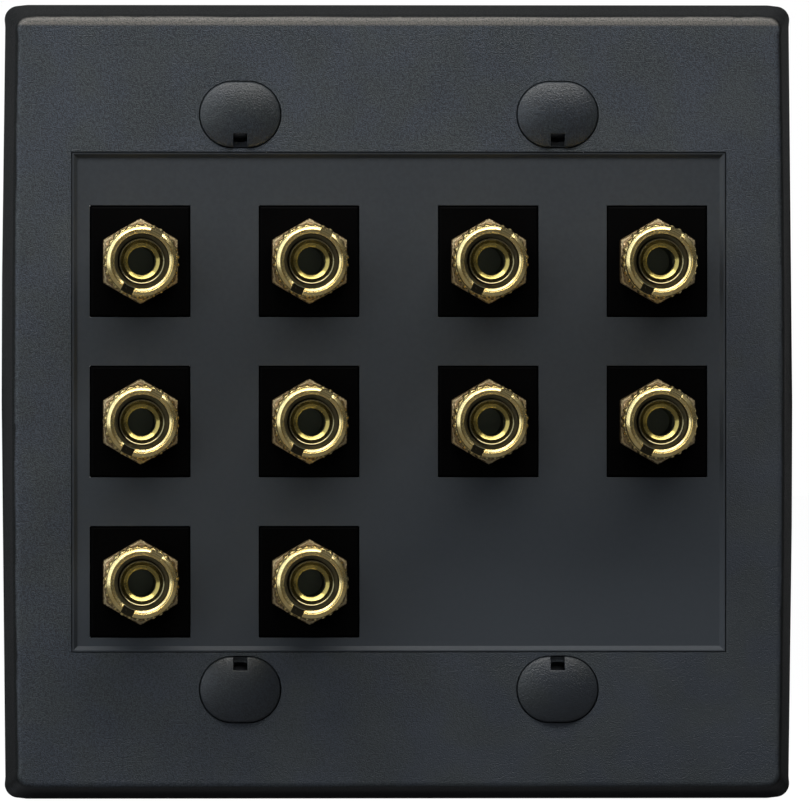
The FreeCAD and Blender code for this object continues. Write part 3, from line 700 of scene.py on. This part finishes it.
front = [
    (1.8, 0.0),
    (1.8, BORE_R),
    (THROAT, BORE_R),
    (TIP - 0.7, FUNNEL_R),
    (TIP - 0.12, 3.08),
    (TIP, STEM_R - 0.03),
    (TIP - 0.06, STEM_R),
    (TIP - 0.5, STEM_R),
]
stem = [(out, STEM_R) for out in stepped(TIP - 0.5, STEM_THREAD_END, STEM_PITCH)]
waist = [(STEM_THREAD_END, STEM_R), (BASE_FRONT, STEM_R), (BASE_FRONT, 5.2), (BASE_BACK, 5.2)]
waist += [(BASE_BACK, STUD_R), (BASE_BACK - 0.5, STUD_R)]
stud = [(out, STUD_R) for out in stepped(BASE_BACK - 0.5, STUD_END + 0.4, STUD_PITCH)]


def post_relief(out, radius, turn):
    """Threads on the stem and on the rear stud, and none elsewhere."""
    if STEM_THREAD_END < out < TIP - 0.5 and radius > STEM_R - 0.1:
        return thread(out, turn, STEM_PITCH, 0.26)
    if STUD_END + 0.4 < out < BASE_BACK - 0.5:
        return thread(out, turn, STUD_PITCH, 0.22)
    return 0


post_rows = eased(front, 0.06) + stem[1:] + eased(waist, 0.1)[1:] + stud[1:]
post_rows += [(STUD_END, 1.6), (STUD_END, 0)]
post = finished(turned(post_rows, 72, post_relief), "post_pattern")
cut_out(post, (8.0, 2.6, 2.6), (0, -10.95, 0), round_bar=True)
sharpened(post)
spread_out(post, "turned_post", "plate", "gold_polished", gold_polished, "binding_post_{}")


# Clamp washers. Thin brass rings with a short hub, which press the wire on the nut.
# The hub turns in the back of the collar, so that each washer travels with its collar.

CLAMP_FRONT = 9.8
ring = [(9.0, 3.4), (9.0, 4.9), (CLAMP_FRONT, 4.9), (CLAMP_FRONT, 4.25), (10.55, 4.25), (10.55, 3.4)]
ring = eased(ring + ring[:2], 0.08)[1:-4]
washer = finished(turned(ring, 72, lambda out, radius, turn: 0, ring=True), "washer_pattern")
sharpened(washer)
spread_out(washer, "wire_clamp", "clamp_washer_{}", "gold_polished", gold_polished, "clamp_washer_{}")


# Collars. Turned brass, polished and gold plated. A knurled grip, a narrow neck and a bright
# ring with a domed face and a stepped mouth, slotted across so that a driver can turn it.

COLLAR_BACK = 9.8
COLLAR_FRONT = 18.8
KNURL_R = 5.5
KNURL_FRONT = 14.8
TEETH = 28
RING_R = 5.15
collar_profile = [
    (COLLAR_BACK, 4.35),
    (COLLAR_BACK, KNURL_R - 0.3),
    (COLLAR_BACK + 0.3, KNURL_R),
    (KNURL_FRONT - 0.3, KNURL_R),
    (KNURL_FRONT, KNURL_R - 0.3),
    (KNURL_FRONT, 4.85),
    (KNURL_FRONT + 0.6, 4.85),
    (KNURL_FRONT + 0.6, RING_R),
    (COLLAR_FRONT - 0.42, RING_R),
    (COLLAR_FRONT - 0.24, RING_R - 0.12),
    (COLLAR_FRONT, 4.56),
    (COLLAR_FRONT - 0.03, 4.5),
    (COLLAR_FRONT - 0.26, 4.44),
    (COLLAR_FRONT - 0.26, 4.3),
    (COLLAR_FRONT - 0.52, 3.95),
    (14.45, 3.95),
    (14.45, 3.4),
    (10.65, 3.4),
    (10.65, 4.35),
]
collar_rows = eased(collar_profile + collar_profile[:2], 0.07)[1:-4]


def knurl(out, radius, turn):
    """Rounded ridges with sharp valleys along the grip."""
    if radius < 5.2 or not COLLAR_BACK < out < KNURL_FRONT:
        return 0
    return -0.34 * (1 - abs(math.sin(turn * TEETH / 2)))


collar = finished(turned(collar_rows, TEETH * 8, knurl, ring=True), "collar_pattern")
SLOT = math.radians(27)
for side, deep in ((-1, 0.9), (1, 0.32)):
    middle = (math.sin(SLOT) * 4.7 * side, -COLLAR_FRONT, math.cos(SLOT) * 4.7 * side)
    cut_out(collar, (1.8, deep * 2, 2.6), middle, turn=SLOT)
sharpened(collar)
spread_out(collar, "knurled_collar", "collar_{}", "gold_polished", gold_polished, "collar_{}")


# Solder lugs. Stamped from thin tinned brass, one on each rear stud, with a drilled tab that
# hangs down for the wire.

lug_tin = plated("lug_tin", (0.66, 0.66, 0.65), (0.50, 0.50, 0.49), 1800.0, 0.006, 0.34, (1.0, 1.0, 0.2))
fit(softened("rear_lugs", "solder_lugs", 0.08), "plate", "lug_tin", lug_tin, "rear_lugs")


# Rear nuts. The same dull gilt brass as the lock nuts, smaller, and they hold the lugs.

rear = hex_nut("rear_stud_nuts", -15.3, -12.1, 7.0, 2.05)
repeated(rear, PORTS)
fit(rear, "plate", "gold_frosted", gold_frosted, "rear_nuts")


# Studio. A floor close under the plate's lower edge, a white wall well behind it, a wide soft
# lamp above the front and a large weak one at the left. The room itself is dim.

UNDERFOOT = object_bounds()[0].z - 0.0002


def sheet(name, corners):
    """A flat stage piece through four corners."""
    mesh = bpy.data.meshes.new(name)
    mesh.from_pydata(corners, [], [(0, 1, 2, 3)])
    piece = bpy.data.objects.new(name, mesh)
    bpy.context.scene.collection.objects.link(piece)
    return piece


def sees_background(finish):
    """1 for a ray that looks at the background: from the camera, a mirror or through glass."""
    path = finish.node("LightPath", out="Is Camera Ray")
    outputs = path.socket.node.outputs
    seen = path + Signal(finish, outputs["Is Glossy Ray"]) + Signal(finish, outputs["Is Transmission Ray"])
    return seen.between(0.0, 1.0)


floor_paint = Finish("floor_paint")
diffuse = floor_paint.node("BsdfDiffuse", None, {"Color": (0.12, 0.12, 0.12, 1.0)})
away = floor_paint.part(floor_paint.node("TexCoord", out="Object"), "Y")
mirrored = floor_paint.node("LightPath", out="Is Glossy Ray") * (1.0 - away.between(0.02, 0.30))
fade = floor_paint.blend(mirrored, (0.97, 0.97, 0.97), (0.06, 0.06, 0.065))
glow = floor_paint.node("Emission", None, {"Color": fade, "Strength": 1.0})
lit = floor_paint.node("AddShader", None, {0: diffuse, 1: glow})
floor_shader = floor_paint.node("MixShader", None, {0: sees_background(floor_paint), 1: diffuse, 2: lit})
floor_paint.node("OutputMaterial", None, {"Surface": floor_shader})
floor = sheet("floor", [(x, y, UNDERFOOT) for x, y in ((-3, -3), (3, -3), (3, 4.25), (-3, 4.25))])
floor.data.materials.append(floor_paint.material)

wall_paint = Finish("wall_paint")
grey = wall_paint.node("BsdfDiffuse", None, {"Color": (0.80, 0.80, 0.80, 1.0)})
white = wall_paint.node("Emission", None, {"Color": (1, 1, 1, 1), "Strength": 1.0})
front_side = wall_paint.node("MixShader", None, {0: sees_background(wall_paint), 1: grey, 2: white})
clear = wall_paint.node("BsdfTransparent")
from_behind = wall_paint.node("NewGeometry", out="Backfacing")
wall_shader = wall_paint.node("MixShader", None, {0: from_behind, 1: front_side, 2: clear})
wall_paint.node("OutputMaterial", None, {"Surface": wall_shader})
wall = sheet("wall", [(x, 4.2, z) for x, z in ((-2, UNDERFOOT), (2, UNDERFOOT), (2, 3), (-2, 3))])
wall.data.materials.append(wall_paint.material)

bpy.context.scene.view_settings.view_transform = "Standard"
world = bpy.data.worlds.new("room")
bpy.context.scene.world = world
room = Finish("room", world)
ray = room.node("TexCoord", out="Generated")
shade = room.blend(room.part(ray, "Z").between(-0.1, 0.9), (0.045, 0.048, 0.052), (0.22, 0.23, 0.25))
light = room.node("Background", None, {"Color": shade, "Strength": 1.0})
room.node("OutputWorld", None, {"Surface": light})


def softbox(name, place, aim, wide, tall, power, colour):
    """A rectangular lamp turned towards a point."""
    lamp = bpy.data.lights.new(name, "AREA")
    lamp.shape = "RECTANGLE"
    lamp.size = wide
    lamp.size_y = tall
    lamp.energy = power
    lamp.color = colour
    holder = bpy.data.objects.new(name, lamp)
    bpy.context.scene.collection.objects.link(holder)
    holder.location = place
    holder.rotation_euler = (Vector(aim) - Vector(place)).to_track_quat("-Z", "Y").to_euler()
    return holder


softbox("top_lamp", (-0.02, -0.20, 0.32), (0, 0, 0.01), 0.62, 0.12, 1.75, (1.0, 0.98, 0.95))
softbox("left_lamp", (-0.46, -0.24, 0.10), (0, 0, 0), 0.50, 0.60, 1.5, (0.86, 0.93, 1.0))

camera = bpy.data.cameras.new("camera")
camera_holder = bpy.data.objects.new("camera", camera)
bpy.context.scene.collection.objects.link(camera_holder)
bpy.context.scene.camera = camera_holder
FAR = 2.5
SEEN = 0.1175
camera.sensor_width = 36.0
camera.lens = 36.0 * FAR / SEEN
camera.clip_end = 100.0
sideways = math.radians(-2.1)
upwards = math.radians(0.3)
aim = Vector((0.00094, -0.005, -0.00044))
back = Vector((math.sin(sideways) * math.cos(upwards), -math.cos(sideways), math.sin(upwards)))
camera_holder.location = aim + back * FAR
camera_holder.rotation_euler = (-back).to_track_quat("-Z", "Y").to_euler()
